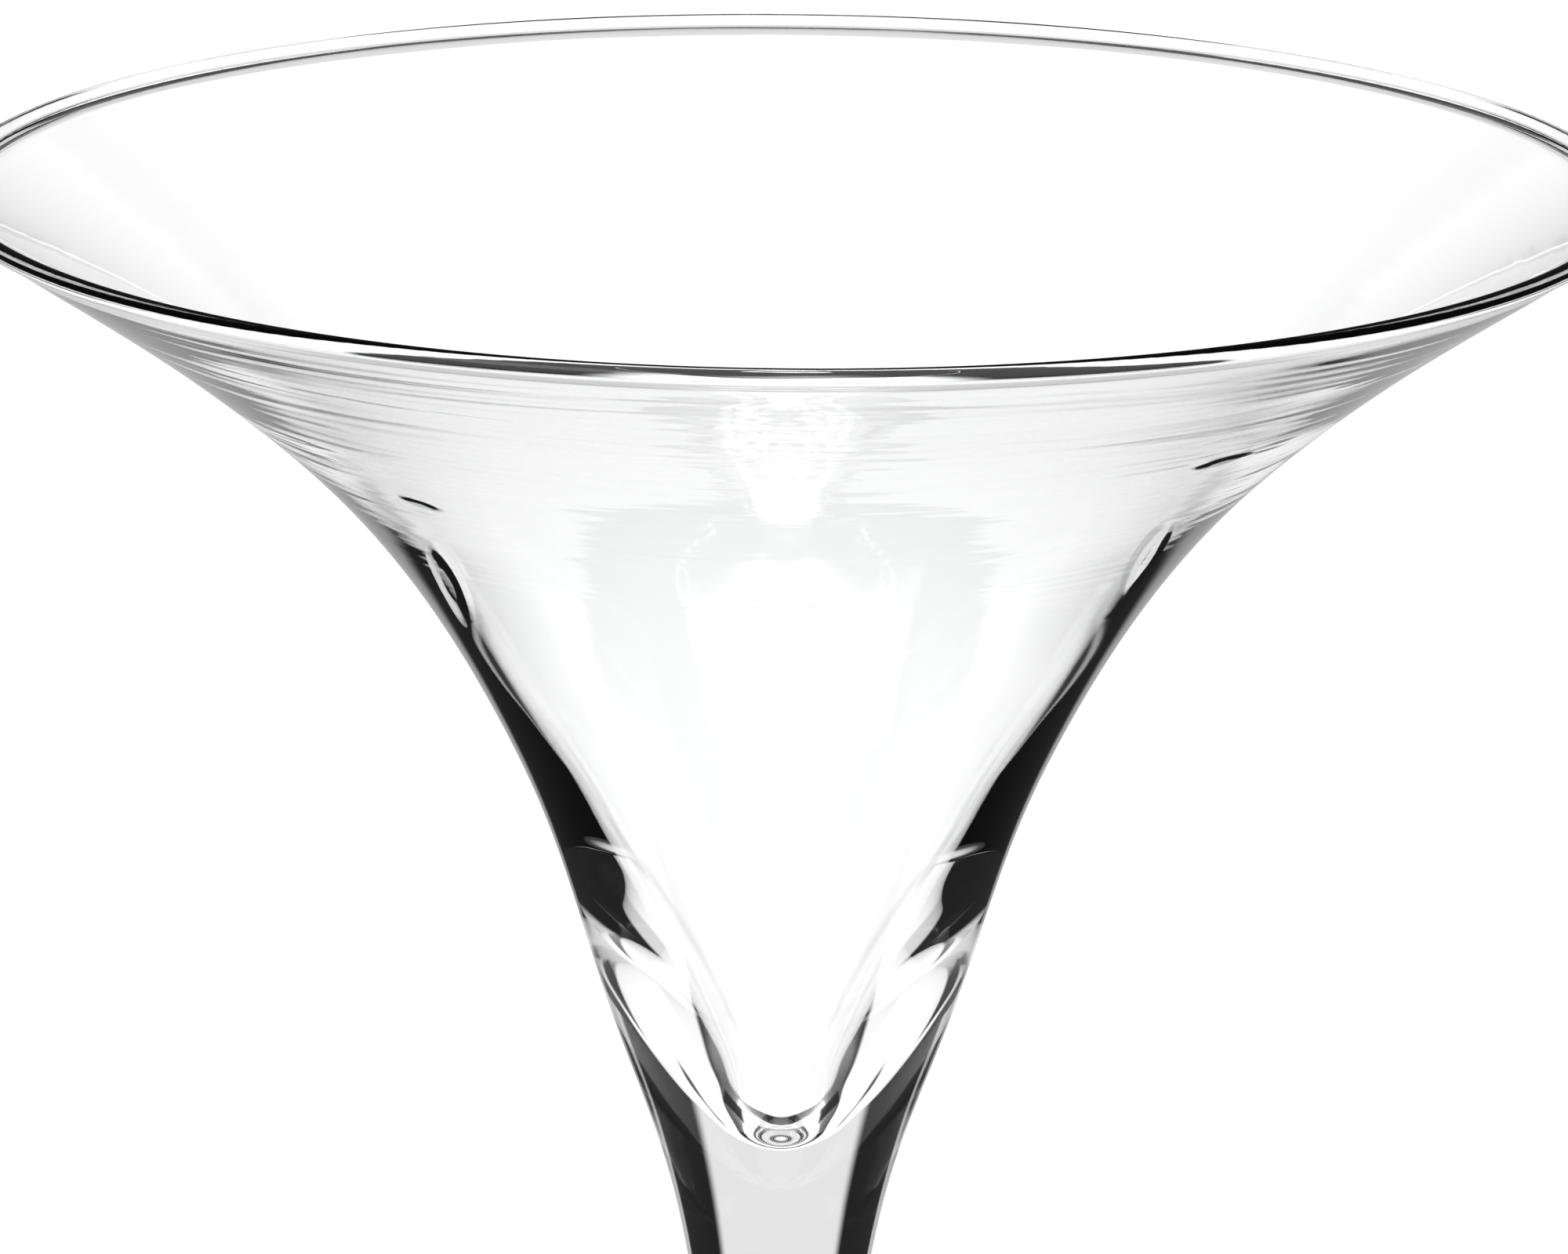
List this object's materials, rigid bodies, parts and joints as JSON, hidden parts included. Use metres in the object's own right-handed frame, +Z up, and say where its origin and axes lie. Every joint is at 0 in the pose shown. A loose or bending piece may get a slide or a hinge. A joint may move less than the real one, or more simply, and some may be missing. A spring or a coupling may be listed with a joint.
{
  "type": "martini glass",
  "caption": "Stemmed cocktail glass: a wide trumpet bowl with a rounded rim, drawn into a solid stem on a round foot.",
  "frame": {"origin": "centre of the circle on which the foot rests", "axes": "+Z up along the axis of the stem, towards the rim; the glass is round, so +X and +Y are any two level directions"},
  "size_m": [0.12, 0.12, 0.18],
  "materials": {
    "bowl_glass": "clear polished glass",
    "stem_glass": "clear polished glass",
    "foot_glass": "clear polished glass"
  },
  "bodies": {
    "root": {"bowl": "bowl_glass", "stem": "stem_glass", "foot": "foot_glass"}
  },
  "joints": []
}
